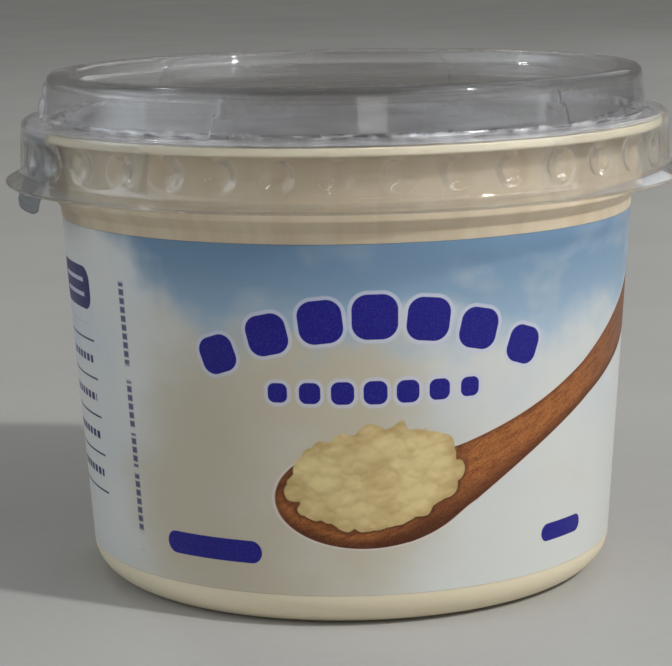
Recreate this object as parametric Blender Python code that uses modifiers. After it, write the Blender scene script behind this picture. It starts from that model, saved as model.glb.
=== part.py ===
"""A small chilled dairy pot: tub, in-mould label, foil seal with a pull tab, clear press-on lid.

Metres, +Z up. The origin is the middle of the base, on the surface that the pot stands on.
The front of the label faces -Y. Angles round the pot are measured from the front towards +X.
"""

from math import asin, atan2, cos, hypot, pi, radians, sin, sqrt

import bmesh
import bpy

# Driving dimensions
LID_SHOULDER_R = 0.0441
RIM_R = 0.0431
RIM_TOP = 0.06175
RIM_THICKNESS = 0.0008
GAP = 0.00025

# How finely the round shapes are cut: two columns for each dimple, and four on the lid's skirt
DIMPLES = 38
COLUMNS = 2 * DIMPLES
COLUMN_ANGLE = 2 * pi / COLUMNS

# Tub
COLLAR_R = RIM_R - 0.0025
COLLAR_FOOT = 0.05265
SHELF_R = 0.03915
SHELF_Z = 0.0511
WALL_R_AT_FLOOR = 0.03585
WALL_SLOPE = 0.064
EDGE_ROUND = 0.00025
CORNER_R = 0.0047
CORNER_STEPS = 4
REST_RING_INNER_R = 0.0282
BASE_RECESS = 0.0008
BASE_RECESS_R = 0.0276

# Label
LABEL_BOTTOM = 0.0045
LABEL_TOP = 0.0497
LABEL_THICKNESS = 0.00015

# Foil seal
FOIL_THICKNESS = 0.00012
FOIL_TOP = RIM_TOP + GAP + FOIL_THICKNESS
FOIL_R = RIM_R + 0.0001
FOIL_ROWS = (0.0, 0.018, 0.030, 0.0365, 0.0390, 0.0407, FOIL_R)
CREASE_HEIGHT = 0.0013
CREASE_R = 0.0380
CREASE_SPREAD = 0.0027
TAB_FIRST_COLUMN = -17
TAB_COLUMNS = 4
TAB_TAPER = 0.88
TAB_TIP_TAPER = 0.76

# Lid
LID_WALL = 0.00035
SHOULDER_Z = FOIL_TOP + GAP + LID_WALL
LID_TOP = 0.0687
TOP_RING_R = 0.04035
TOP_RING_INNER_R = 0.0377
PANEL_R = 0.0372
PANEL_Z = LID_TOP - 0.0019
DRUM_FOOT_R = 0.0412
LIP_R = 0.0464
LIP_Z = 0.0545
DIMPLE_Z = 0.05855
DIMPLE_R = 0.00245
DIMPLE_DEPTH = 0.0011
DIMPLE_ROW_SHARE = 0.43
LUG_COLUMNS = (0, 13, 25, 38, 51, 63)
LUG_FIRST_ANGLE = radians(-21.3)
LUG_MARGIN = 0.0004
LUG_DEPTH = 0.0006
LUG_TOP_SHARE = 0.65


def clear_scene():
    for old in list(bpy.data.objects):
        bpy.data.objects.remove(old, do_unlink=True)


def new_collection(name):
    collection = bpy.data.collections.new(name)
    bpy.context.scene.collection.children.link(collection)
    return collection


def new_material(name, color, roughness, metallic=0.0, alpha=1.0, ior=1.5):
    material = bpy.data.materials.new(name)
    material.use_nodes = True
    shader = material.node_tree.nodes["Principled BSDF"]
    shader.inputs["Base Color"].default_value = (*color, 1.0)
    shader.inputs["Roughness"].default_value = roughness
    shader.inputs["Metallic"].default_value = metallic
    shader.inputs["Alpha"].default_value = alpha
    shader.inputs["IOR"].default_value = ior
    return material


def turned(name, profile, material, closed=False):
    """Turn a profile in the XZ plane, given outer side first and top to bottom, about Z."""
    edges = [(i, i + 1) for i in range(len(profile) - 1)]
    if closed:
        edges.append((len(profile) - 1, 0))
    mesh = bpy.data.meshes.new(name)
    mesh.from_pydata([(r, 0.0, z) for r, z in profile], edges, [])
    mesh.materials.append(material)
    piece = bpy.data.objects.new(name, mesh)
    POT.objects.link(piece)
    screw = piece.modifiers.new("turn", "SCREW")
    screw.axis = "Z"
    screw.angle = 2 * pi
    screw.steps = COLUMNS
    screw.render_steps = COLUMNS
    screw.use_merge_vertices = True
    screw.merge_threshold = 0.00001
    screw.use_smooth_shade = True
    return piece


def freeze(piece):
    """Turn what the modifiers make into the piece's own mesh, ready for shaping by hand."""
    depsgraph = bpy.context.evaluated_depsgraph_get()
    mesh = bpy.data.meshes.new_from_object(piece.evaluated_get(depsgraph))
    piece.modifiers.clear()
    piece.data = mesh
    return mesh


def thicken(piece, thickness):
    solidify = piece.modifiers.new("wall", "SOLIDIFY")
    solidify.thickness = thickness
    solidify.offset = -1.0


def angle_of(point):
    return atan2(point.x, -point.y)


def place(vert, radius, angle, height):
    vert.co = (radius * sin(angle), -radius * cos(angle), height)


def arc(center_r, center_z, radius, start, end, steps):
    """Points on a round edge of the profile, angles measured from +X towards +Z."""
    return [
        (
            center_r + radius * cos(start + (end - start) * i / steps),
            center_z + radius * sin(start + (end - start) * i / steps),
        )
        for i in range(steps + 1)
    ]


def wall_r(z):
    return WALL_R_AT_FLOOR + WALL_SLOPE * z


def tub_profile():
    groove = LABEL_THICKNESS + GAP
    groove_top = LABEL_TOP + GAP
    groove_bottom = LABEL_BOTTOM - GAP
    rim_bottom = RIM_TOP - RIM_THICKNESS
    corner_center_r = wall_r(CORNER_R) - CORNER_R
    profile = [
        (0.0, RIM_TOP),
        (RIM_R - EDGE_ROUND, RIM_TOP),
        (RIM_R, RIM_TOP - EDGE_ROUND),
        (RIM_R, rim_bottom + EDGE_ROUND),
        (RIM_R - EDGE_ROUND, rim_bottom),
        (COLLAR_R, rim_bottom),
        (COLLAR_R, COLLAR_FOOT),
        (SHELF_R, SHELF_Z),
        (wall_r(groove_top), groove_top),
        (wall_r(groove_top) - groove, groove_top),
        (wall_r(groove_bottom) - groove, groove_bottom),
    ]
    corner_start = -asin((CORNER_R - groove_bottom) / CORNER_R)
    profile += arc(corner_center_r, CORNER_R, CORNER_R, corner_start, radians(-90), CORNER_STEPS)
    profile += [
        (REST_RING_INNER_R, 0.0),
        (BASE_RECESS_R, BASE_RECESS),
        (0.0, BASE_RECESS),
    ]
    return profile


def make_tub():
    plastic = new_material("tub_plastic", (0.80, 0.78, 0.70), 0.35)
    return turned("tub", tub_profile(), plastic)


def make_label():
    printed = new_material("label_print", (0.42, 0.55, 0.68), 0.32)
    inner_top = wall_r(LABEL_TOP) - LABEL_THICKNESS
    inner_bottom = wall_r(LABEL_BOTTOM) - LABEL_THICKNESS
    profile = [
        (wall_r(LABEL_TOP), LABEL_TOP),
        (wall_r(LABEL_BOTTOM), LABEL_BOTTOM),
        (inner_bottom, LABEL_BOTTOM),
        (inner_top, LABEL_TOP),
    ]
    return turned("label", profile, printed, closed=True)


def crease_height(radius, angle):
    """Height of the foil's creases, highest just inside the rim and never below the flat foil."""
    swell = 0.5 + 0.28 * sin(7 * angle + 0.4) + 0.22 * sin(17 * angle + 1.9)
    ridges = 0.5 + 0.5 * sin(29 * angle + 900 * radius) * sin(5 * angle - 300 * radius)
    near_rim = max(0.0, 1 - ((radius - CREASE_R) / CREASE_SPREAD) ** 2)
    middle = 0.22 * (radius < CREASE_R)
    return CREASE_HEIGHT * max(near_rim, middle) * (0.35 * swell + 0.65 * ridges)


def crease_foil(bm):
    for vert in bm.verts:
        radius = hypot(vert.co.x, vert.co.y)
        vert.co.z += crease_height(radius, angle_of(vert.co))


def tab_path():
    """Where the pull tab runs, as radius and height: over the rim, down inside the skirt and out."""
    skirt_clear_r = FOIL_R + GAP
    rim_bottom = RIM_TOP - RIM_THICKNESS
    behind_dimples_r = RIM_R - 0.0007
    return [
        (skirt_clear_r, FOIL_TOP - GAP),
        (skirt_clear_r, rim_bottom - GAP),
        (behind_dimples_r, rim_bottom - 0.0012),
        (behind_dimples_r, 0.0570),
        (0.0436, 0.0555),
        (0.0444, 0.0535),
        (0.0447, 0.0522),
        (0.0448, 0.0514),
    ]


def fold_tab(bm):
    """Draw the foil's edge out over a few columns and fold it down as the pull tab."""
    first = TAB_FIRST_COLUMN * COLUMN_ANGLE
    last = first + TAB_COLUMNS * COLUMN_ANGLE
    middle = (first + last) / 2
    edges = [
        edge
        for edge in bm.edges
        if edge.is_boundary and first < angle_of((edge.verts[0].co + edge.verts[1].co) / 2) < last
    ]
    path = tab_path()
    for step, (radius, height) in enumerate(path):
        made = bmesh.ops.extrude_edge_only(bm, edges=edges)["geom"]
        edges = [item for item in made if isinstance(item, bmesh.types.BMEdge)]
        squeeze = 1.0
        if step == 1:
            squeeze = TAB_TAPER
        if step == len(path) - 1:
            squeeze = TAB_TIP_TAPER
        for vert in (item for item in made if isinstance(item, bmesh.types.BMVert)):
            angle = middle + (angle_of(vert.co) - middle) * squeeze
            place(vert, radius, angle, height)


def make_seal():
    foil = new_material("seal_foil", (0.70, 0.72, 0.76), 0.28, metallic=1.0)
    profile = [(radius, FOIL_TOP) for radius in FOIL_ROWS]
    seal = turned("seal", profile[::-1], foil)
    mesh = freeze(seal)
    bm = bmesh.new()
    bm.from_mesh(mesh)
    crease_foil(bm)
    fold_tab(bm)
    bmesh.ops.recalc_face_normals(bm, faces=bm.faces)
    bm.to_mesh(mesh)
    bm.free()
    thicken(seal, FOIL_THICKNESS)
    return seal


def dimple_rows():
    """Heights on the skirt that the dimples need: edge, near the middle, near the middle, edge."""
    inner = DIMPLE_R * DIMPLE_ROW_SHARE
    return [DIMPLE_Z + DIMPLE_R, DIMPLE_Z + inner, DIMPLE_Z - inner, DIMPLE_Z - DIMPLE_R]


def lid_profile():
    corner = 0.0005
    skirt_r = LID_SHOULDER_R + 0.00005
    profile = [
        (0.0, PANEL_Z),
        (PANEL_R, PANEL_Z),
        (TOP_RING_INNER_R, LID_TOP),
        (TOP_RING_R, LID_TOP),
        (DRUM_FOOT_R, SHOULDER_Z + corner),
        (DRUM_FOOT_R + corner, SHOULDER_Z),
        (LID_SHOULDER_R - corner, SHOULDER_Z),
        (LID_SHOULDER_R, SHOULDER_Z - corner),
    ]
    profile += [(skirt_r, height) for height in dimple_rows()]
    profile += [
        (skirt_r + corner, LIP_Z + 0.0009),
        (LIP_R, LIP_Z),
    ]
    return profile


def refine_skirt(bm):
    """Halve the columns of the skirt, and put the new points back on the circle."""
    top_row = DIMPLE_Z + DIMPLE_R + GAP
    rings = [
        edge
        for edge in bm.edges
        if edge.verts[0].co.z < top_row and abs(edge.verts[0].co.z - edge.verts[1].co.z) < GAP / 10
    ]
    made = bmesh.ops.subdivide_edges(bm, edges=rings, cuts=1)["geom_inner"]
    for vert in (item for item in made if isinstance(item, bmesh.types.BMVert)):
        vert.co.x /= cos(COLUMN_ANGLE / 2)
        vert.co.y /= cos(COLUMN_ANGLE / 2)


def dimple_depth(angle, height):
    """Depth of the round dimples pressed into the skirt, centred a quarter column off the front."""
    pitch = 2 * pi / DIMPLES
    first = -pitch / 8
    from_middle = (angle - first + pitch / 2) % pitch - pitch / 2
    across = from_middle * LID_SHOULDER_R
    share = hypot(across, height - DIMPLE_Z) / DIMPLE_R
    return DIMPLE_DEPTH * sqrt(max(0.0, 1 - share * share))


def press_dimples(bm):
    for vert in bm.verts:
        radius = hypot(vert.co.x, vert.co.y)
        if vert.co.z < SHOULDER_Z - GAP and radius > RIM_R:
            angle = angle_of(vert.co)
            place(vert, radius - dimple_depth(angle, vert.co.z), angle, vert.co.z)


def raise_lugs(bm):
    """Push six small tapered lugs out of the drum's wall; they keep stacked lids apart."""
    wall_middle = (LID_TOP + SHOULDER_Z) / 2
    for column in LUG_COLUMNS:
        wanted = LUG_FIRST_ANGLE + column * COLUMN_ANGLE
        wall = [
            face
            for face in bm.faces
            if abs(face.calc_center_median().z - wall_middle) < 0.001
            and abs((angle_of(face.calc_center_median()) - wanted + pi) % (2 * pi) - pi) < COLUMN_ANGLE / 2
        ]
        bmesh.ops.inset_individual(bm, faces=wall, thickness=LUG_MARGIN, depth=LUG_DEPTH)
        for face in wall:
            middle = angle_of(face.calc_center_median())
            for vert in face.verts:
                if vert.co.z > wall_middle:
                    radius = hypot(vert.co.x, vert.co.y)
                    angle = middle + (angle_of(vert.co) - middle) * LUG_TOP_SHARE
                    place(vert, radius, angle, vert.co.z)


def make_lid():
    clear = new_material("lid_plastic", (0.85, 0.87, 0.88), 0.08, alpha=0.3, ior=1.57)
    lid = turned("lid", lid_profile(), clear)
    mesh = freeze(lid)
    bm = bmesh.new()
    bm.from_mesh(mesh)
    raise_lugs(bm)
    refine_skirt(bm)
    press_dimples(bm)
    bm.to_mesh(mesh)
    bm.free()
    thicken(lid, LID_WALL)
    return lid


clear_scene()
POT = new_collection("dairy_pot")
for maker in (make_tub, make_label, make_seal, make_lid):
    made_piece = maker()
    made_piece.data.shade_smooth()
    made_piece.data.set_sharp_from_angle(angle=radians(35))
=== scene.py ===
"""Chilled dairy pot: moulded tub, printed film, crumpled foil seal with a pull tab, clear lid.

Metres, +Z up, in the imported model's frame. The front of the label faces -Y, and angles round the
pot are measured from the front towards +X.
"""

from math import asin, atan2, cos, degrees, hypot, pi, radians, sin, tan

import bpy
from mathutils import Matrix, Vector, noise


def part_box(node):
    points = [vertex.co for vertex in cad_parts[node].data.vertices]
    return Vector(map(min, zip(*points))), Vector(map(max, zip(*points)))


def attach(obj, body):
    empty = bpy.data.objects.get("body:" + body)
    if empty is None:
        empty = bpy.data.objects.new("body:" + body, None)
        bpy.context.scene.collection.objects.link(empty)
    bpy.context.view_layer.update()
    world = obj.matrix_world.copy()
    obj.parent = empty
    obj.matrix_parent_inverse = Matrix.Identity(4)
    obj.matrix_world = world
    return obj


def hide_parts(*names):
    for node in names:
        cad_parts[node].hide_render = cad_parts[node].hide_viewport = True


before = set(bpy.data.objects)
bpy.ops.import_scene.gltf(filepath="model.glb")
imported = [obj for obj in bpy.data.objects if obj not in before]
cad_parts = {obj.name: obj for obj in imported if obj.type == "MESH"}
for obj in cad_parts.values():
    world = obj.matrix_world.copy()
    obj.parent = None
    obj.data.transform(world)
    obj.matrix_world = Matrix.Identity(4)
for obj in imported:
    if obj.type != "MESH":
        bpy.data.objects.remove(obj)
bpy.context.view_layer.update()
MM = 0.001
TURN = 2 * pi
ARC_STEP = radians(16)

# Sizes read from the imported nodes
LIP_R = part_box("lid")[1].x
LIP_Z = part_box("lid")[0].z + 0.35 * MM
LID_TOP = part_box("lid")[1].z
RIM_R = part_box("tub")[1].x
RIM_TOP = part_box("tub")[1].z + 0.2 * MM
LABEL_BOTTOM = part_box("label")[0].z
LABEL_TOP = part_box("label")[1].z
LABEL_TOP_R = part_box("label")[1].x

# Tub: a wall that widens upwards, a shelf, a collar and a flat rim
WALL_SLOPE = 0.064
COLLAR_R = RIM_R - 2.5 * MM
RIM_THICKNESS = 1.2 * MM
COLLAR_FOOT = 52.65 * MM
SHELF_R = 39.15 * MM
SHELF_Z = 51.1 * MM
CORNER_R = 4.7 * MM
CORNER_STEPS = 12
REST_RING_INNER_R = 28.2 * MM
BASE_RECESS = 0.8 * MM
BASE_RECESS_R = 27.6 * MM
BASE_RIBS_R = (12.0 * MM, 19.5 * MM)
GATE_R = 1.6 * MM
RIB_HEIGHT = 0.15 * MM
TUB_COLUMNS = 288

# Film on the wall, let in flush, with its butt seam at the back
FILM = 0.15 * MM
FILM_BED = 0.16 * MM
FILM_EDGE = 0.04 * MM
SEAM_HALF = 0.2 * MM
FILM_COLUMNS = 320
FILM_ROWS = 30

# Foil seal: a disc that is creased near the drum, and a tab folded down over the rim
FOIL = 0.12 * MM
FOIL_TOP = RIM_TOP + 0.05 * MM + FOIL
FOIL_R = RIM_R + 0.1 * MM
FOIL_COLUMNS = 520
CREASE_HEIGHT = 1.3 * MM
CREASE_R = 38.0 * MM
CREASE_SPREAD = 2.7 * MM
TAB_FIRST = -TURN * 17 / 76
TAB_WIDTH = TURN * 4 / 76
TAB_COLUMNS = 66
TAB_STEP = 0.22 * MM
TAB_TAPER = 0.88
KNURL_PITCH = 1.5 * MM
KNURL_HEIGHT = 0.1 * MM

# Lid: sunk panel, flat ring, drum with small lugs, shoulder, dimpled skirt and flared lip
LID_WALL = 0.35 * MM
SHOULDER_Z = FOIL_TOP + 0.25 * MM + LID_WALL
SHOULDER_R = 44.05 * MM
SKIRT_R = 44.35 * MM
RING_R = 40.35 * MM
RING_INNER_R = 37.7 * MM
PANEL_R = 37.2 * MM
PANEL_Z = LID_TOP - 1.9 * MM
DRUM_FOOT_R = 41.2 * MM
DIMPLES = 38
DIMPLE_PITCH = TURN / DIMPLES
DIMPLE_FIRST = -DIMPLE_PITCH / 8
DIMPLE_Z = 58.55 * MM
DIMPLE_R = 2.45 * MM
DIMPLE_FLAT = 0.3
DIMPLE_DEPTH = 0.85 * MM
PANEL_COLUMNS = 152
RING_COLUMNS = 342
SKIRT_COLUMNS = DIMPLES * 18
LUG_FIRST = radians(-21.3)
LUG_COLUMNS = (0, 13, 25, 38, 51, 63)
LUG_ANGLES = [LUG_FIRST + TURN * column / 76 for column in LUG_COLUMNS]
LUG_FOOT = (1.6 * MM, 65.6 * MM, 0.6 * MM)
LUG_HEAD = (1.0 * MM, 67.4 * MM, 0.38 * MM)
LUG_TAPER = 0.12
LUG_EDGE = 0.26 * MM
LUG_SPAN = radians(2.6)


def wall_r(z):
    """Radius of the tub's wall, and of the film's face, at a height."""
    return LABEL_TOP_R + WALL_SLOPE * (z - LABEL_TOP)


def around(radius, angle, z):
    return (radius * sin(angle), -radius * cos(angle), z)


def blend_in(value, low, high):
    """0 below low, 1 above high, and a smooth step between them."""
    share = min(1.0, max(0.0, (value - low) / (high - low)))
    return share * share * (3 - 2 * share)


def wrapped(angle):
    return (angle + pi) % TURN - pi


# Shapes


def rounded(corners):
    """Profile through (radius, height, rounding) corners, each with a rounding drawn as an arc."""
    profile = []
    for i, (r, z, rounding) in enumerate(corners):
        if rounding == 0:
            profile.append((r, z))
            continue
        here = Vector((r, z))
        back = (Vector(corners[i - 1][:2]) - here).normalized()
        ahead = (Vector(corners[i + 1][:2]) - here).normalized()
        half = back.angle(ahead) / 2
        center = here + (back + ahead).normalized() * (rounding / sin(half))
        start = here + back * (rounding / tan(half)) - center
        turn = start.angle_signed(here + ahead * (rounding / tan(half)) - center)
        steps = max(3, round(abs(turn) / ARC_STEP))
        for step in range(steps + 1):
            point = center + start @ Matrix.Rotation(turn * step / steps, 2)
            profile.append((point.x, point.y))
    return profile


def stepped(profile, longest):
    """The same profile with points added, so that no stretch is longer than longest(r, z)."""
    made = [profile[0]]
    for (r0, z0), (r1, z1) in zip(profile, profile[1:]):
        length = hypot(r1 - r0, z1 - z0)
        parts = max(1, round(length / longest((r0 + r1) / 2, (z0 + z1) / 2)))
        made += [(r0 + (r1 - r0) * k / parts, z0 + (z1 - z0) * k / parts) for k in range(1, parts + 1)]
    return made


def even_angles(columns):
    return [TURN * column / columns - pi for column in range(columns)]


def finer_angles(columns, spots, span, extra):
    """Even angles all round, replaced by extra ones within a span round each spot."""
    kept = [a for a in even_angles(columns) if all(abs(wrapped(a - s)) > span * 1.02 for s in spots)]
    for spot in spots:
        kept += [wrapped(spot + span * (2 * k / (extra - 1) - 1)) for k in range(extra)]
    return sorted(kept)


def angle_of(point):
    return atan2(point[0], -point[1])


def stitched(upper, lower, start, next_start):
    """Triangles between two rings that hold different numbers of points, in order of angle."""
    faces = []
    i = j = 0
    upper_turns = [angle_of(point) for point in upper]
    lower_turns = [angle_of(point) for point in lower]
    upper_turns.append(upper_turns[0] + TURN)
    lower_turns.append(lower_turns[0] + TURN)
    while i < len(upper) or j < len(lower):
        here = start + i % len(upper)
        below = next_start + j % len(lower)
        if j == len(lower) or (i < len(upper) and upper_turns[i + 1] < lower_turns[j + 1]):
            i += 1
            faces.append((here, below, start + i % len(upper)))
        else:
            j += 1
            faces.append((here, below, next_start + j % len(lower)))
    return faces


def skin(rows, ring=True):
    """Points and faces of a sheet laid through rows of points; a row of one point is a pole."""
    points = []
    faces = []
    start = 0
    for i, row in enumerate(rows):
        points.extend(row)
        if i + 1 == len(rows):
            break
        below = rows[i + 1]
        next_start = start + len(row)
        count = max(len(row), len(below))
        if 1 < len(row) != len(below) > 1:
            faces += stitched(row, below, start, next_start)
            start = next_start
            continue
        for j in range(count if ring else count - 1):
            k = (j + 1) % count
            if len(row) == 1:
                faces.append((start, next_start + j, next_start + k))
            elif len(below) == 1:
                faces.append((start + j, next_start, start + k))
            else:
                faces.append((start + j, next_start + j, next_start + k, start + k))
        start = next_start
    return points, faces


def turned_rows(profile, angles):
    return [
        [(0.0, 0.0, z)] if r == 0 else [around(r, angle, z) for angle in angles]
        for r, z in profile
    ]


def make_piece(name, points, faces, finish, node, thickness=0.0):
    """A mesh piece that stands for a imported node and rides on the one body."""
    mesh = bpy.data.meshes.new(name)
    mesh.from_pydata(points, [], faces)
    mesh.validate()
    mesh.materials.append(finish)
    piece = bpy.data.objects.new(name, mesh)
    bpy.context.scene.collection.objects.link(piece)
    mesh.shade_smooth()
    mesh.set_sharp_from_angle(angle=radians(40))
    if thickness:
        wall = piece.modifiers.new("wall", "SOLIDIFY")
        wall.thickness = thickness
        wall.offset = -1.0
    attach(piece, "root")
    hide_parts(node)
    return piece


def tub_profile():
    bed_top = LABEL_TOP + FILM_EDGE
    bed_bottom = LABEL_BOTTOM - FILM_EDGE
    rim_bottom = RIM_TOP - RIM_THICKNESS
    corner_center_r = wall_r(CORNER_R) - CORNER_R
    upper = rounded([
        (0.0, RIM_TOP, 0),
        (RIM_R, RIM_TOP, 0.28 * MM),
        (RIM_R, rim_bottom, 0.28 * MM),
        (COLLAR_R, rim_bottom, 0.4 * MM),
        (COLLAR_R, COLLAR_FOOT, 0.5 * MM),
        (SHELF_R, SHELF_Z, 0.5 * MM),
        (wall_r(bed_top), bed_top, 0),
        (wall_r(bed_top) - FILM_BED, bed_top, 0),
        (wall_r(bed_bottom) - FILM_BED, bed_bottom, 0),
        (wall_r(bed_bottom), bed_bottom, 0),
    ])
    start = -asin((CORNER_R - bed_bottom) / CORNER_R)
    corner = []
    for step in range(1, CORNER_STEPS + 1):
        turn = start + (-pi / 2 - start) * step / CORNER_STEPS
        corner.append((corner_center_r + CORNER_R * cos(turn), CORNER_R + CORNER_R * sin(turn)))
    rib = RIB_HEIGHT
    base = [
        (REST_RING_INNER_R, 0.0, 0.2 * MM),
        (BASE_RECESS_R, BASE_RECESS, 0.3 * MM),
    ]
    for rib_r in reversed(BASE_RIBS_R):
        base += [(rib_r + 2 * rib, BASE_RECESS, 0), (rib_r, BASE_RECESS - rib, 0.1 * MM)]
        base += [(rib_r - 2 * rib, BASE_RECESS, 0)]
    base += [
        (GATE_R + rib, BASE_RECESS, 0),
        (GATE_R, BASE_RECESS + rib, 0),
        (GATE_R / 2, BASE_RECESS + rib, 0),
        (GATE_R / 3, BASE_RECESS - rib, 0.1 * MM),
        (0.0, BASE_RECESS - rib, 0),
    ]
    lower = rounded([(*corner[-1], 0)] + base)
    return upper + corner + lower[1:]


def make_tub(finish):
    profile = stepped(tub_profile(), lambda r, z: 6 * MM)
    points, faces = skin(turned_rows(profile, even_angles(TUB_COLUMNS)))
    return make_piece("tub_body", points, faces, finish, "tub")


def make_film(finish):
    """The printed film, closed on all sides and open by a hair at its seam."""
    seam = SEAM_HALF / wall_r(0)
    reach = pi - seam
    angles = [-reach + 2 * reach * k / FILM_COLUMNS for k in range(FILM_COLUMNS + 1)]
    outer = []
    for k in range(FILM_ROWS + 1):
        z = LABEL_TOP + (LABEL_BOTTOM - LABEL_TOP) * k / FILM_ROWS
        outer.append((wall_r(z), z))
    inner = [(r - FILM, z) for r, z in reversed(outer)]
    rows = turned_rows(outer + inner, angles)
    points, faces = skin(rows + [rows[0]], ring=False)
    width = len(angles)
    wrap = len(rows) * width
    faces = [tuple(p - wrap if p >= wrap else p for p in face) for face in faces]
    points = points[:wrap]
    last = width - 1
    for k in range(FILM_ROWS):
        top, low = k * width, (k + 1) * width
        in_top, in_low = (2 * FILM_ROWS + 1 - k) * width, (2 * FILM_ROWS - k) * width
        faces.append((top, in_top, in_low, low))
        faces.append((top + last, low + last, in_low + last, in_top + last))
    return make_piece("label_film", points, faces, finish, "label")


def crease(radius, angle):
    """Height of the foil's creases: sharp folds that run out to the drum, and a shallow middle."""
    swell = 0.5 + 0.28 * sin(7 * angle + 0.4) + 0.22 * sin(17 * angle + 1.9)
    spot = Vector((radius * sin(angle), radius * cos(angle), 0.0)) / MM
    along = Vector((angle * 14.0, radius / MM * 0.2, 2.0))
    folds = noise.ridged_multi_fractal(along, 0.9, 2.1, 4, 1.0, 2.0, noise_basis="PERLIN_ORIGINAL")
    crumple = noise.turbulence(spot * 0.4, 4, True, noise_basis="PERLIN_ORIGINAL")
    near_rim = blend_in(radius, CREASE_R - CREASE_SPREAD, CREASE_R) * blend_in(
        DRUM_FOOT_R - 0.45 * MM - radius, 0.0, 0.9 * MM
    )
    middle = 0.16 * blend_in(CREASE_R - radius, 0.0, 3 * MM)
    on_rim = 0.1 * blend_in(radius, COLLAR_R, COLLAR_R + 0.5 * MM)
    share = min(1.0, 0.2 * swell + 0.5 * min(1.0, folds / 2.0) + 0.45 * crumple)
    return CREASE_HEIGHT * max(near_rim, middle, on_rim) * share


def tab_path():
    """Where the pull tab runs, as radius and height: over the rim, down inside the skirt and out."""
    clear_r = FOIL_R + 0.25 * MM
    rim_bottom = RIM_TOP - RIM_THICKNESS
    behind_r = RIM_R - 0.7 * MM
    return rounded([
        (FOIL_R, FOIL_TOP, 0),
        (clear_r, FOIL_TOP - 0.25 * MM, 0.1 * MM),
        (clear_r, rim_bottom - 0.25 * MM, 0.3 * MM),
        (behind_r, rim_bottom - 1.2 * MM, 0.3 * MM),
        (behind_r, 57.0 * MM, 0.8 * MM),
        (43.6 * MM, 55.5 * MM, 1.0 * MM),
        (44.4 * MM, 53.5 * MM, 1.0 * MM),
        (44.8 * MM, 51.4 * MM, 0),
    ])


def tab_row(r, z, share, angles):
    """One row of the tab, narrower past the rim, round at its tip, with a knurl pressed in."""
    middle = TAB_FIRST + TAB_WIDTH / 2
    tip = blend_in(share, 0.8, 1.0)
    squeeze = 1 + (TAB_TAPER - 1) * blend_in(share, 0.0, 0.2)
    knurl_on = blend_in(share, 0.25, 0.35)
    row = []
    for angle in angles:
        across = (angle - middle) / (TAB_WIDTH / 2)
        turned = middle + (angle - middle) * squeeze
        drop = tip * 0.8 * MM * abs(across) ** 6
        side = (turned - middle) * r
        knurl = sin(TURN * (side + z) / KNURL_PITCH) * sin(TURN * (side - z) / KNURL_PITCH)
        row.append(around(r + KNURL_HEIGHT * knurl * knurl_on, turned, z + drop))
    return row


def make_foil(finish):
    middle = TAB_FIRST + TAB_WIDTH / 2
    angles = finer_angles(FOIL_COLUMNS, [middle], TAB_WIDTH / 2, TAB_COLUMNS)
    radii = [0.0, 5 * MM, 10 * MM, 14 * MM, 18 * MM, 21 * MM, 24 * MM, 27 * MM, 29.5 * MM, 31.5 * MM]
    radii += [(33.0 + 0.3 * k) * MM for k in range(34)]
    radii += [FOIL_R]
    rows = [[(0.0, 0.0, FOIL_TOP)]]
    for radius in radii[1:]:
        rows.append([around(radius, a, FOIL_TOP + crease(radius, a)) for a in angles])
    points, faces = skin(rows)
    path = stepped(tab_path(), lambda r, z: TAB_STEP)
    tab_angles = [a for a in angles if abs(a - middle) < TAB_WIDTH / 2 * 1.0001]
    first = len(points) - len(angles) + angles.index(tab_angles[0])
    width = len(tab_angles)
    above = list(range(first, first + width))
    for step, (r, z) in enumerate(path[1:], 1):
        points.extend(tab_row(r, z, step / (len(path) - 1), tab_angles))
        below = list(range(len(points) - width, len(points)))
        faces += [(above[j], below[j], below[j + 1], above[j + 1]) for j in range(width - 1)]
        above = below
    return make_piece("foil_seal", points, faces, finish, "seal", thickness=FOIL)


def dimple_depth(angle, z):
    """How far a round dimple presses the skirt in: a flat floor with a soft wall round it."""
    from_middle = (angle - DIMPLE_FIRST + DIMPLE_PITCH / 2) % DIMPLE_PITCH - DIMPLE_PITCH / 2
    share = hypot(from_middle * SHOULDER_R, z - DIMPLE_Z) / DIMPLE_R
    return DIMPLE_DEPTH * blend_in(1 - share, 0.0, 1 - DIMPLE_FLAT)


def lug_height(angle, z):
    """How far a lug stands out of the drum: a wide foot, and a narrower head above it."""
    nearest = min(abs(wrapped(angle - lug)) for lug in LUG_ANGLES)
    if nearest > LUG_SPAN:
        return 0.0
    across = nearest * DRUM_FOOT_R
    height = 0.0
    for half, top, depth in (LUG_FOOT, LUG_HEAD):
        half -= LUG_TAPER * (z - SHOULDER_Z)
        inside = blend_in(half - across, -LUG_EDGE, LUG_EDGE) * blend_in(top - z, -LUG_EDGE, LUG_EDGE)
        height = max(height, depth * inside)
    return height


def lid_profile():
    return rounded([
        (0.0, PANEL_Z, 0),
        (PANEL_R, PANEL_Z, 1.0 * MM),
        (RING_INNER_R, LID_TOP, 0.8 * MM),
        (RING_R, LID_TOP, 1.0 * MM),
        (DRUM_FOOT_R, SHOULDER_Z, 0.8 * MM),
        (SHOULDER_R, SHOULDER_Z, 0.9 * MM),
        (SKIRT_R, LIP_Z + 1.15 * MM, 0.6 * MM),
        (LIP_R, LIP_Z, 0),
    ])


def lid_step(r, z):
    """Longest stretch of the lid's profile: short where dimples and lugs need it."""
    if r < PANEL_R:
        return 9 * MM
    if RING_R < r < SHOULDER_R and z > SHOULDER_Z:
        return 0.42 * MM
    if r > SHOULDER_R - 0.2 * MM:
        return 0.27 * MM
    return 1.2 * MM


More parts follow.
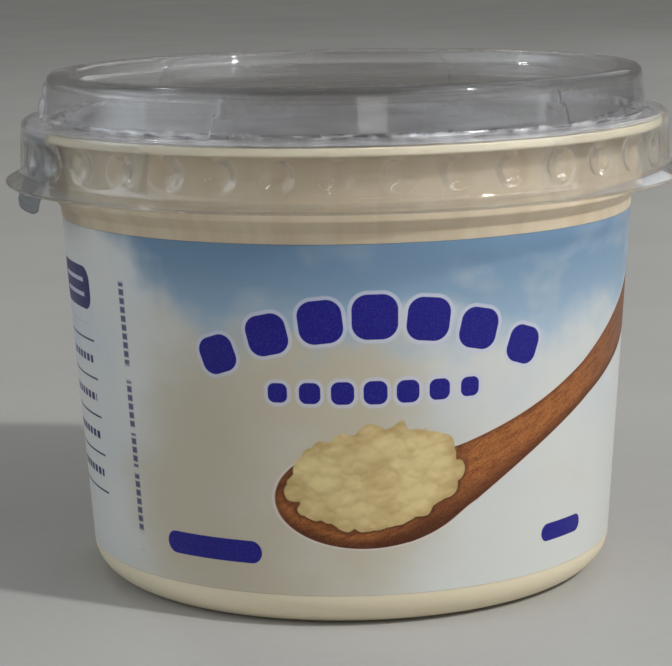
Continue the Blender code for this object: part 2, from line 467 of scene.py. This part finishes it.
def make_lid(finish):
    panel_angles = even_angles(PANEL_COLUMNS)
    ring_angles = even_angles(RING_COLUMNS)
    drum_angles = finer_angles(RING_COLUMNS, LUG_ANGLES, LUG_SPAN, 24)
    skirt_angles = even_angles(SKIRT_COLUMNS)
    rows = []
    for r, z in stepped(lid_profile(), lid_step):
        if r == 0:
            rows.append([(0.0, 0.0, z)])
        elif r < PANEL_R - 1 * MM:
            rows.append([around(r, a, z) for a in panel_angles])
        elif z < SHOULDER_Z - 0.05 * MM:
            rows.append([around(r - dimple_depth(a, z), a, z) for a in skirt_angles])
        elif r >= RING_R - 0.1 * MM and z < LID_TOP - 0.3 * MM:
            fade = blend_in(z, SHOULDER_Z, SHOULDER_Z + 0.3 * MM)
            rows.append([around(r + fade * lug_height(a, z), a, z) for a in drum_angles])
        else:
            rows.append([around(r, a, z) for a in ring_angles])
    points, faces = skin(rows)
    return make_piece("clear_lid", points, faces, finish, "lid", thickness=LID_WALL)


# Finishes


class Value:
    """A number that changes over a surface, so that a pattern is written as a sum."""

    def __init__(self, nodes, socket):
        self.nodes = nodes
        self.socket = socket

    def maths(self, operation, *values):
        made = self.nodes.node("ShaderNodeMath", {"operation": operation}, dict(enumerate(values)))
        return Value(self.nodes, made.outputs[0])

    def __add__(self, other):
        return self.maths("ADD", self, other)

    def __sub__(self, other):
        return self.maths("SUBTRACT", self, other)

    def __rsub__(self, other):
        return self.maths("SUBTRACT", other, self)

    def __mul__(self, other):
        return self.maths("MULTIPLY", self, other)

    def __truediv__(self, other):
        return self.maths("DIVIDE", self, other)

    def __rtruediv__(self, other):
        return self.maths("DIVIDE", other, self)

    def __pow__(self, other):
        return self.maths("POWER", self, other)

    def __mod__(self, other):
        return self.maths("FLOORED_MODULO", self, other)

    def __neg__(self):
        return self.maths("MULTIPLY", self, -1.0)

    def __abs__(self):
        return self.maths("ABSOLUTE", self)

    __radd__ = __add__
    __rmul__ = __mul__

    def sine(self):
        return self.maths("SINE", self)

    def floor(self):
        return self.maths("FLOOR", self)

    def at_least(self, other):
        return self.maths("MAXIMUM", self, other)

    def at_most(self, other):
        return self.maths("MINIMUM", self, other)

    def smooth_least(self, other, reach):
        return self.maths("SMOOTH_MIN", self, other, reach)

    def clipped(self):
        return self.at_least(0.0).at_most(1.0)

    def step(self, low, high):
        """0 below low, 1 above high, and a smooth step between them."""
        made = self.nodes.node(
            "ShaderNodeMapRange",
            {"interpolation_type": "SMOOTHSTEP", "clamp": True},
            {"Value": self, "From Min": low, "From Max": high},
        )
        return Value(self.nodes, made.outputs["Result"])


def length(x, y):
    return (x * x + y * y) ** 0.5


def lesser(first, *others):
    for other in others:
        first = first.at_most(other)
    return first


def turned(x, y):
    """Angle round the pot from the front, towards +X."""
    return x.maths("ARCTAN2", x, -y)


def oval(across, up, spec):
    """Distance in millimetres from the edge of a sloping oval, negative inside."""
    middle, height, half_length, half_height, slope = spec
    off = across - middle
    rise = up - height - off * slope
    return (length(off / half_length, rise / half_height) - 1) * half_height


class Nodes:
    """A tree of nodes that is built from patterns over a place."""

    def __init__(self, tree, place):
        self.tree = tree
        self.tree.nodes.clear()
        self.place = self.node("ShaderNodeTexCoord").outputs[place]

    def node(self, kind, settings=None, values=None):
        """A node of that kind, its settings made first and then its sockets' values or links."""
        made = self.tree.nodes.new(kind)
        for name, setting in (settings or {}).items():
            setattr(made, name, setting)
        for name, value in (values or {}).items():
            if isinstance(value, Value):
                value = value.socket
            if isinstance(value, bpy.types.NodeSocket):
                self.tree.links.new(value, made.inputs[name])
            else:
                made.inputs[name].default_value = value
        return made

    def axes(self):
        split = self.node("ShaderNodeSeparateXYZ", None, {0: self.place})
        return [Value(self, output) for output in split.outputs]

    def scaled(self, x=1.0, y=1.0, z=1.0):
        """The place on the piece in millimetres, stretched along its axes."""
        made = self.node(
            "ShaderNodeVectorMath", {"operation": "MULTIPLY"}, {0: self.place, 1: (x / MM, y / MM, z / MM)}
        )
        return made.outputs[0]

    def joined(self, x, y, z=0.0):
        return self.node("ShaderNodeCombineXYZ", None, {0: x, 1: y, 2: z}).outputs[0]

    def grain(self, place, scale, detail=3.0, roughness=0.5, distortion=0.0):
        """Soft noise, about 0.5 in the mean."""
        values = {
            "Vector": place,
            "Scale": scale,
            "Detail": detail,
            "Roughness": roughness,
            "Distortion": distortion,
        }
        return Value(self, self.node("ShaderNodeTexNoise", None, values).outputs["Fac"])

    def cells(self, place, scale, feature="F1"):
        made = self.node("ShaderNodeTexVoronoi", {"feature": feature}, {"Vector": place, "Scale": scale})
        return Value(self, made.outputs["Distance"])

    def mix(self, share, low, high):
        """One colour blended into another; the colours are sockets or red, green and blue."""
        colors = {6: low, 7: high}
        for index, color in colors.items():
            if isinstance(color, tuple):
                colors[index] = (*color, 1.0)
        made = self.node("ShaderNodeMix", {"data_type": "RGBA"}, {0: share, **colors})
        return made.outputs[2]

    def bump(self, height, depth, normal=None):
        """Relief of that depth in metres where height goes from 0 to 1."""
        values = {"Height": height, "Distance": depth, "Strength": 1.0}
        if normal is not None:
            values["Normal"] = normal
        return self.node("ShaderNodeBump", None, values).outputs[0]


class Finish(Nodes):
    """A material made of nodes."""

    def __init__(self, name):
        self.material = bpy.data.materials.new(name)
        self.material.use_nodes = True
        super().__init__(self.material.node_tree, "Object")

    def surface(self, shader):
        self.node("ShaderNodeOutputMaterial", None, {"Surface": shader})
        return self.material

    def principled(self, values):
        return self.node("ShaderNodeBsdfPrincipled", None, values).outputs[0]


TUB_CREAM = (0.58, 0.465, 0.318)
TUB_PALE = (0.66, 0.565, 0.415)
TUB_BASE_LIGHT_AND_RIM = (0.87, 0.78, 0.58)
PAPER_WHITE = (0.68, 0.70, 0.68)
PAPER_CREAM = (0.56, 0.51, 0.40)
PAPER_BLUE = (0.56, 0.63, 0.70)
SKY_DEEP = (0.155, 0.265, 0.40)
SKY_LIGHT = (0.37, 0.52, 0.67)
CLOUD = (0.60, 0.63, 0.64)
INDIGO = (0.010, 0.008, 0.235)
INDIGO_DARK = (0.010, 0.008, 0.12)
HALO = (0.62, 0.64, 0.78)
SPOON_HALO = (0.74, 0.65, 0.61)
CURD_DARK = (0.46, 0.31, 0.125)
CURD_LIGHT = (0.80, 0.66, 0.33)
WOOD_DARK = (0.074, 0.017, 0.005)
WOOD_MID = (0.275, 0.083, 0.021)
WOOD_LIGHT = (0.47, 0.17, 0.046)
FOIL_DULL = (0.58, 0.60, 0.64)
FOIL_BRIGHT = (0.74, 0.75, 0.78)
FOLD_DARK_REFLECTION = (0.085, 0.075, 0.105)
FOLD_BRIGHT_REFLECTION = (0.93, 0.92, 0.90)
FOIL_SEALED = (0.80, 0.78, 0.80)
TAB_GREY = (0.20, 0.215, 0.21)
SHEET_CLEAR = (0.97, 0.975, 0.985)
SHEET_EDGE_SHADE = (0.30, 0.325, 0.34)
SHEET_SHADE = (0.74, 0.75, 0.77, 1.0)
FLOOR_DARK = (0.42, 0.42, 0.41)
FLOOR_PALE = (0.47, 0.47, 0.46)

# Radii in millimetres at which angles become lengths along the label and along the foil's folds
LABEL_R = 38.0
FOIL_STREAK_R = 40.0

# Two ornamental rows on the front, in millimetres: their middle, and for each row its spacing, its
# height in the middle, its sag, and half the sizes of its tiles from the middle one outwards
ROW_MIDDLE = 3.3
TILE_ROW = (6.7, 40.6, 0.0125, (2.85, 2.75, 2.6, 2.4))
DOT_ROW = (4.1, 31.0, 0.0, (1.5, 1.45, 1.35, 1.25))
TILE_TILT = 0.65

# The sky's lower edge, and where it starts to rise on the left and on the right
SKY_FOOT = 38.0
SKY_LEFT = -17.8
SKY_RIGHT = 62.0

# Small plain plates low on the front: across, up, half width, half height and tilt
PLATES = ((-19.4, 9.9, 7.4, 1.5, 0.0), (32.6, 9.6, 4.4, 1.2, 0.0))

# Middles of the side panels, and the upright column of dashes: middle, half width, low and high
SIDE_PANELS = (-47.4, 84.0)
DASH_COLUMN = (-32.3, 0.5, 7.5, 44.0)

# A side panel's tab, the two slots in it, and the rules and rows of bars below it
PANEL_TAB = (0.0, 41.4, 6.8, 2.9, 0.0)
PANEL_SLOT_OFF = 1.0
PANEL_SLOT = (4.6, 0.28)
RULE_PITCH = 5.2
RULE_START = 13.6
RULE_HALF = 0.12
BAR_HALF = 0.5

# Wooden bowl and the heap on it: middle across and up, half length, half height and slope
BOWL = (3.3, 17.9, 13.2, 7.15, 0.05)
HEAP = (3.5, 19.9, 12.0, 6.9, 0.07)

# Wooden handle: its turn, where lengths along it start, its two ends and its least half width
HANDLE_TURN = radians(24.2)
HANDLE_START = (20.0, 21.8)
HANDLE_ENDS = (-15.0, 43.0)
HANDLE_HALF = 2.52


def ornament_row(spacing, height, sag, sizes):
    """Tiles of an arched row that grow towards its middle, as (across, up, half, half, tilt)."""
    tiles = []
    for place in range(1 - len(sizes), len(sizes)):
        half = sizes[abs(place)]
        off = place * spacing
        tilt = -TILE_TILT * degrees(2 * sag * off)
        tiles.append((ROW_MIDDLE + off, height - sag * off * off, half, half, tilt))
    return tiles


def tub_finish():
    """Cream moulded plastic: faint flow streaks, a satin skin, a slight orange peel, painted light that
    makes the base paler, and a paler band at the rim.
    """
    f = Finish("cream_plastic")
    x, y, z = f.axes()
    around_mm = turned(x, y) * LABEL_R
    streaks = f.grain(f.joined(around_mm, z / MM * 0.05), 0.35, 3.0)
    clouding = f.grain(f.scaled(), 0.09, 2.0)
    color = f.mix((streaks * 0.6 + clouding * 0.4).step(0.35, 0.65), TUB_CREAM, TUB_PALE)
    height = z / MM
    # Painted light: paler near the base, where light bounced from the floor falls, and paler just below
    # the rim top.
    painted_base_light_and_rim = (1 - height.step(4.0, 8.0)).at_least(1 - (RIM_TOP / MM - height).step(1.1, 1.4))
    color = f.mix(painted_base_light_and_rim * 0.9, color, TUB_BASE_LIGHT_AND_RIM)
    peel = f.grain(f.scaled(), 1.6, 2.0)
    scuffs = f.grain(f.scaled(1, 1, 6), 0.7, 4.0, 0.6)
    return f.surface(f.principled({
        "Base Color": color,
        "Roughness": 0.34 + scuffs * 0.14,
        "Normal": f.bump(peel * 0.7 + scuffs * 0.3, 0.02 * MM),
        "IOR": 1.49,
        "Subsurface Weight": 0.15,
        "Subsurface Radius": (1.0, 0.7, 0.4),
        "Subsurface Scale": 2.0 * MM,
    }))


def tile(across, up, spec, softness=0.7):
    """Distance in millimetres from the edge of a rounded tile, negative inside."""
    s0, z0, half_w, half_h, tilt = spec
    turn = radians(tilt)
    ds, dz = across - s0, up - z0
    side = abs(ds * cos(turn) + dz * sin(turn))
    rise = abs(dz * cos(turn) - ds * sin(turn))
    soft = min(half_w, half_h) * softness
    dx = side - (half_w - soft)
    dy = rise - (half_h - soft)
    outside = length(dx.at_least(0.0), dy.at_least(0.0))
    return outside + dx.at_least(dy).at_most(0.0) - soft


def sky(f, across, up):
    """Blue sky with soft clouds at the top of the label, over pale paper that has a painted warm shade
    towards the front middle.
    """
    wander = f.grain(f.joined(across, up), 0.12, 3.0, 0.5)
    fine = f.grain(f.joined(across, up * 1.6), 0.06, 3.5, 0.5, 0.2)
    left = (SKY_LEFT - across).at_least(0.0) * 0.76
    right = (across - SKY_RIGHT).at_least(0.0) * 0.6
    cloud_bank = length((across - 9.0) / 7.0, (up - 41.0) / 4.5)
    edge = SKY_FOOT + left + right
    height = up - edge + (wander - 0.5) * 13.0 - (1 - cloud_bank).at_least(0.0) * 6.0
    blue_share = height.step(-4.0, 4.0) ** 0.8
    deep = f.mix(up.step(34.0, 50.0), SKY_LIGHT, SKY_DEEP)
    wisps = fine.step(0.5, 0.72) * (0.6 - up.step(43.0, 50.0) * 0.35)
    blue = f.mix(wisps, deep, CLOUD)
    mottle = f.grain(f.joined(across * 0.7, up), 0.045, 4.0, 0.55)
    # Painted warm shade towards the front middle, added to the paper's own cream mottle; the pale blue
    # tint is kept out of it.
    front = 1 - length((across + 10.0) / 24.0, (up - 20.0) / 30.0).step(0.5, 1.3)
    warm = (mottle * 0.7 + front * 0.35).step(0.35, 0.75)
    paper = f.mix(warm, PAPER_WHITE, PAPER_CREAM)
    cool = f.grain(f.joined(across, up, 7.0), 0.05, 4.0, 0.5).step(0.42, 0.68) * up.step(10.0, 34.0)
    paper = f.mix(cool * (1 - front) * 0.8, paper, PAPER_BLUE)
    return f.mix(blue_share, paper, blue)


def handle_place(across, up):
    """Along and across the wooden handle, in millimetres."""
    ds, dz = across - HANDLE_START[0], up - HANDLE_START[1]
    along = ds * cos(HANDLE_TURN) + dz * sin(HANDLE_TURN)
    off = dz * cos(HANDLE_TURN) - ds * sin(HANDLE_TURN)
    return along, off


def wood(f, along, off, half, depth):
    """Warm brown wood: fibres along the handle, dark pores, darker towards the lower edge, and painted
    shade towards the handle's far end.
    """
    fibres = f.grain(f.joined(along * 0.4, off * 1.8), 0.9, 5.0, 0.7, 0.3)
    pores = f.grain(f.joined(along * 1.5, off * 3.0), 1.8, 3.0, 0.7).step(0.50, 0.62)
    color = f.mix(fibres.step(0.34, 0.62), WOOD_MID, WOOD_LIGHT)
    color = f.mix(pores * 0.6, color, WOOD_DARK)
    low = 1 - (off / half).step(-1.1, -0.1)
    edge = 1 - depth.step(0.0, 0.8)
    # Painted shade: the handle darkens towards its far end.
    painted_shade_far_end = along.step(6.0, 40.0)
    return f.mix((low * 0.92).at_least(edge * 0.6).at_least(painted_shade_far_end * 0.65), color, WOOD_DARK)


def curds(f, across, up, inside):
    """A heap of small soft curds: rounded grains, lit from above, with shade between them."""
    warp = f.grain(f.joined(across, up), 0.3, 3.0)
    place = f.joined(across * 0.9 + warp * 2.6, up * 1.1 + warp * 1.8)
    above = f.joined(across * 0.9 + warp * 2.6, (up - 0.5) * 1.1 + warp * 1.8)
    lump = f.cells(place, 0.52)
    lit = lump - f.cells(above, 0.52)
    crumbs = f.cells(place, 1.15) - f.cells(above, 1.15)
    relief = 0.6 + lit * 0.6 + crumbs * 0.15 + (0.45 - lump) * 0.3
    patches = f.grain(place, 0.16, 3.0).step(0.35, 0.65)
    shade = relief.clipped() * 0.75 + patches * 0.2 + inside.step(0.0, 1.6) * 0.15
    color = f.mix(shade.step(0.2, 1.0), CURD_DARK, CURD_LIGHT)
    return f.mix((1 - up.step(12.5, 19.0)) * 0.25, color, CURD_DARK)


def spoonful(f, across, up, ground):
    """A brown wooden bowl and handle with a pale heap on it."""
    along, off = handle_place(across, up)
    inner_end, outer_end = HANDLE_ENDS
    wider_to_bowl = (14.0 - along).at_least(0.0).at_most(19.0) ** 2 * 0.004
    wider_to_end = (along - 18.0).at_least(0.0) * 0.065
    half = HANDLE_HALF + wider_to_bowl + wider_to_end
    handle = (length(off, (along - outer_end).at_least(0.0)) - half).at_least(inner_end - along)
    shape = oval(across, up, BOWL).smooth_least(handle, 1.2)
    covered = 1 - shape.step(-0.06, 0.06)
    bumps = f.cells(f.joined(across, up), 0.42) - 0.4
    ruffle = f.grain(f.joined(across, up), 0.35, 1.0) - 0.5
    heap = oval(across, up, HEAP) + bumps * 1.5 + ruffle * 1.6
    cream = 1 - heap.step(-0.1, 0.1)
    shadow = (1 - heap.step(0.0, 0.9)) * (1 - up.step(18.0, 25.0) * 0.5)
    hollow = 1 - (-shape).step(0.5, 1.7)
    under = hollow * (1 - across.step(3.0, 17.0)) * (1 - up.step(12.5, 16.0))
    brown = f.mix((shadow * 0.8).at_least(under * 0.75), wood(f, along, off, half, -shape), WOOD_DARK)
    ground = f.mix((1 - shape.step(0.12, 0.3)) * 0.7, ground, SPOON_HALO)
    return f.mix(cream, f.mix(covered, ground, brown), curds(f, across, up, -heap))


def dashes(up, low, high, seed):
    """Short bars one above the other, in groups of uneven length."""
    bar = abs((up * 0.86 + seed) % 1.0 - 0.5) - 0.36
    gap = 0.42 - abs((up * 0.12 + (up * 0.23 + seed).sine() * 0.3) % 1.0 - 0.5)
    inside = (low - up).at_least(up - high)
    return bar.at_least((-gap) * 4.0).at_least(inside)


def side_panel(f, across, up, ground, center):
    """Plain information field beside the front: a dark tab, thin rules and short dashes."""
    s = across - center
    header = tile(s, up, PANEL_TAB)
    from_lane = abs((up - RULE_START) % RULE_PITCH - RULE_PITCH / 2)
    rules = (RULE_PITCH / 2 - RULE_HALF - from_lane).at_least(abs(s) - 6.6)
    rules = rules.at_least(up - 37.2).at_least(11.0 - up)
    breaks = abs((s * 0.62 + (up / RULE_PITCH).floor() * 0.37) % 1.0 - 0.5) - 0.34
    bars = (from_lane - BAR_HALF).at_least(breaks).at_least(abs(s) - 5.6)
    bars = bars.at_least(up - 36.5).at_least(12.0 - up)
    marks = lesser(header, rules, bars)
    slot_length, slot_half = PANEL_SLOT
    slots = (abs(abs(up - PANEL_TAB[1]) - PANEL_SLOT_OFF) - slot_half).at_least(abs(s) - slot_length)
    color = f.mix(1 - marks.step(-0.05, 0.07), ground, INDIGO_DARK)
    return f.mix((1 - slots.step(-0.05, 0.07)) * 0.8, color, HALO)


def label_finish():
    """Satin printed film: sky and paper, rows of tiles, a spoonful and side panels."""
    f = Finish("printed_film")
    x, y, z = f.axes()
    across = turned(x, y) * LABEL_R
    up = z / MM
    color = sky(f, across, up)
    color = spoonful(f, across, up, color)
    for center in SIDE_PANELS:
        color = side_panel(f, across, up, color, center)
    column_middle, column_half, low, high = DASH_COLUMN
    column = (abs(across - column_middle) - column_half).at_least(dashes(up, low, high, 1.3))
    color = f.mix((1 - column.step(-0.12, 0.12)) * 0.85, color, INDIGO_DARK)
    pieces = ornament_row(*TILE_ROW) + ornament_row(*DOT_ROW)
    tiles = lesser(*[tile(across, up, spec) for spec in pieces])
    plates = lesser(*[tile(across, up, spec, 1.0) for spec in PLATES])
    color = f.mix((1 - tiles.step(0.35, 0.6)) * 0.75, color, HALO)
    color = f.mix(1 - tiles.at_most(plates).step(-0.05, 0.05), color, INDIGO)
    speckle = f.grain(f.scaled(), 5.0, 2.0)
    color = f.mix((speckle - 0.5).at_least(0.0) * 0.25, color, PAPER_CREAM)
    wave = f.grain(f.scaled(), 0.07, 3.0)
    peel = f.grain(f.scaled(), 1.1, 2.0)
    return f.surface(f.principled({
        "Base Color": color,
        "Roughness": 0.30 + peel * 0.10 + wave * 0.08,
        "Normal": f.bump(wave, 0.12 * MM, f.bump(peel, 0.012 * MM)),
        "Specular IOR Level": 0.28,
    }))


def foil_finish():
    """Thin aluminium: rolled lines, crinkles, painted dark and bright reflections on the folds by the
    drum, a pressed tab.
    """
    f = Finish("sealing_foil")
    x, y, z = f.axes()
    radius = length(x, y) / MM
    around_mm = turned(x, y) * FOIL_STREAK_R
    rolled = f.grain(f.scaled(0.15, 3.0, 3.0), 1.4, 3.0)
    crinkle = f.grain(f.scaled(), 0.45, 6.0, 0.7, 0.6)
    folds = f.cells(f.scaled(), 0.3, "DISTANCE_TO_EDGE")
    patches = f.grain(f.scaled(), 0.12, 3.0).step(0.35, 0.7)
    by_drum = radius.step(36.0, 38.5) * (z / MM).step(61.6, 61.9)
    # Painted reflections: dark and bright streaks on the creased foil by the drum stand for the room
    # mirrored in its folds; the bright ones are also made less metallic.
    streaks = f.grain(f.joined(around_mm * 0.45, radius * 1.6, z / MM * 1.2), 0.9, 4.0, 0.65)
    dark = streaks.step(0.50, 0.57) * by_drum
    bright = (1 - streaks.step(0.40, 0.47)) * by_drum
    on_tab = 1 - (z / MM).step(61.2, 61.6)
    sealed = radius.step(41.2, 42.0) * (1 - on_tab)
    color = f.mix(patches, FOIL_DULL, FOIL_BRIGHT)
    color = f.mix(dark * 0.85, color, FOLD_DARK_REFLECTION)
    color = f.mix(bright * 0.8, color, FOLD_BRIGHT_REFLECTION)
    color = f.mix(sealed * 0.6, color, FOIL_SEALED)
    color = f.mix(on_tab * 0.75, color, TAB_GREY)
    relief = crinkle * 0.7 + folds.at_most(0.4) * 0.6 + rolled * 0.1
    return f.surface(f.principled({
        "Base Color": color,
        "Metallic": 1.0 - (bright * 0.5).at_least(sealed * 0.6),
        "Roughness": 0.22 + rolled * 0.14 + patches * 0.08 + (on_tab + sealed) * 0.25,
        "Normal": f.bump(relief, 0.26 * MM),
    }))


def lid_finish():
    """Clear formed sheet: glass-like, a little wavy and scuffed, with painted shade along the rounding of
    its top edge.
    """
    f = Finish("clear_plastic")
    x, y, z = f.axes()
    below_top = LID_TOP / MM - z / MM
    # Painted shade: a dark tint on the outer rounding of the top ring stands for the dark band seen
    # through it.
    painted_edge_shade = (length(x, y) / MM).step(39.0, 39.7) * (1 - below_top.step(0.55, 0.95))
    wave = f.grain(f.scaled(), 0.10, 2.0)
    ripple = f.grain(f.scaled(1, 1, 2.5), 0.5, 3.0)
    scuffs = f.grain(f.scaled(2.0, 0.4, 1.0), 0.8, 5.0, 0.7)
    sheet = f.principled({
        "Base Color": f.mix(painted_edge_shade, SHEET_CLEAR, SHEET_EDGE_SHADE),
        "Roughness": 0.016 + scuffs.step(0.5, 0.8) * 0.05,
        "Alpha": 0.62,
        "Normal": f.bump(wave, 0.2 * MM, f.bump(ripple, 0.01 * MM)),
        "IOR": 1.5,
        "Transmission Weight": 1.0,
    })
    lamps = f.node("ShaderNodeLightPath").outputs["Is Shadow Ray"]
    clear = f.node("ShaderNodeBsdfTransparent", None, {"Color": SHEET_SHADE}).outputs[0]
    return f.surface(f.node("ShaderNodeMixShader", None, {0: lamps, 1: sheet, 2: clear}).outputs[0])


def floor_finish():
    f = Finish("pale_floor")
    cloud = f.grain(f.scaled(), 0.012, 4.0, 0.55)
    fine = f.grain(f.scaled(), 0.6, 3.0)
    color = f.mix((cloud * 0.7 + fine * 0.3).step(0.3, 0.7), FLOOR_DARK, FLOOR_PALE)
    return f.surface(f.principled({
        "Base Color": color,
        "Roughness": 0.55 + fine * 0.15,
        "Normal": f.bump(fine, 0.02 * MM),
    }))


# Studio

# Light from the room, as red, green and blue, and soft lights in it: azimuth, elevation, where the
# full light ends, where it has faded out (in degrees), and its colour
ROOM_LOW = (0.085, 0.078, 0.068)
ROOM_HIGH = (0.19, 0.178, 0.158)
SOFT_LIGHTS = (
    (-76, 23, 20, 38, (1.12, 1.20, 1.28)),
    (85, 34, 20, 50, (0.40, 0.40, 0.39)),
)

FLOOR_RADII = (0.0, 0.2, 0.6, 1.5, 3.0, 7.0)


def make_floor():
    rows = turned_rows([(r, 0.0) for r in FLOOR_RADII], even_angles(96))
    points, faces = skin(rows)
    mesh = bpy.data.meshes.new("studio_floor")
    mesh.from_pydata(points, [], faces)
    mesh.materials.append(floor_finish())
    floor = bpy.data.objects.new("studio_floor", mesh)
    bpy.context.scene.collection.objects.link(floor)


def make_lamp(name, azimuth, elevation, distance, size, power, color):
    """A soft square lamp that faces the pot; azimuth is from the front towards +X."""
    target = Vector((0.0, 0.0, 0.035))
    way = Vector(around(cos(radians(elevation)), radians(azimuth), sin(radians(elevation))))
    lamp = bpy.data.lights.new(name, "AREA")
    lamp.shape = "RECTANGLE"
    lamp.size, lamp.size_y = size
    lamp.energy = power
    lamp.color = color
    holder = bpy.data.objects.new(name, lamp)
    holder.location = target + way * distance
    holder.rotation_euler = way.to_track_quat("Z", "Y").to_euler()
    bpy.context.scene.collection.objects.link(holder)


def make_lights():
    make_lamp("key", 57, 42, 1.1, (0.06, 0.06), 6.1, (1.0, 0.99, 0.97))
    make_lamp("long_strip", 57, 46, 1.1, (1.4, 0.03), 2.2, (1.0, 1.0, 0.99))
    make_lamp("low_window", 52, 5, 1.2, (1.5, 0.276), 0.8, (0.96, 0.98, 1.0))
    make_lamp("front_strip", 10, 11.5, 1.6, (0.26, 0.3), 0.5, (1.0, 0.97, 0.92))
    make_lamp("back_rim", 160, 32, 1.3, (0.35, 0.75), 0.9, (1.0, 1.0, 1.0))
    make_lamp("glint", -145, 50, 1.1, (0.06, 0.06), 0.5, (1.0, 1.0, 1.0))


def make_surroundings():
    """A dim warm room, brighter overhead, with a soft cool light on the left and one on the right."""
    world = bpy.data.worlds.new("studio")
    world.use_nodes = True
    bpy.context.scene.world = world
    room = Nodes(world.node_tree, "Generated")
    x, y, z = room.axes()
    glow = room.mix(z.step(-0.1, 0.8), ROOM_LOW, ROOM_HIGH)
    for azimuth, elevation, inner, outer, color in SOFT_LIGHTS:
        way = around(cos(radians(elevation)), radians(azimuth), sin(radians(elevation)))
        facing = x * way[0] + y * way[1] + z * way[2]
        glow = room.mix(facing.step(cos(radians(outer)), cos(radians(inner))), glow, color)
    light = room.node("ShaderNodeBackground", None, {"Color": glow, "Strength": 1.0}).outputs[0]
    room.node("ShaderNodeOutputWorld", None, {"Surface": light})


def make_camera():
    """The photograph's view, by its distance, height, pitch, yaw and roll."""
    focal_px, picture_px, sensor = 2274.49, 672, 36.0
    distance, height = 312.332 * MM, 89.507 * MM
    pitch, yaw, roll = 0.18333, -0.00535, -0.0179
    forward = Vector((sin(yaw) * cos(pitch), cos(yaw) * cos(pitch), -sin(pitch)))
    right = Vector((cos(yaw), -sin(yaw), 0.0))
    up = right.cross(forward)
    across = cos(roll) * right + sin(roll) * up
    upright = -sin(roll) * right + cos(roll) * up
    view = bpy.data.cameras.new("camera")
    view.sensor_width = sensor
    view.lens = focal_px * sensor / picture_px
    view.clip_start = 0.01
    camera = bpy.data.objects.new("camera", view)
    turn = Matrix((across, upright, -forward)).transposed().to_4x4()
    camera.matrix_world = Matrix.Translation((0.0, -distance, height)) @ turn
    bpy.context.scene.collection.objects.link(camera)
    bpy.context.scene.camera = camera


make_camera()
make_tub(tub_finish())
make_film(label_finish())
make_foil(foil_finish())
make_lid(lid_finish())
make_floor()
make_lights()
make_surroundings()
bpy.context.scene.view_settings.view_transform = "Standard"
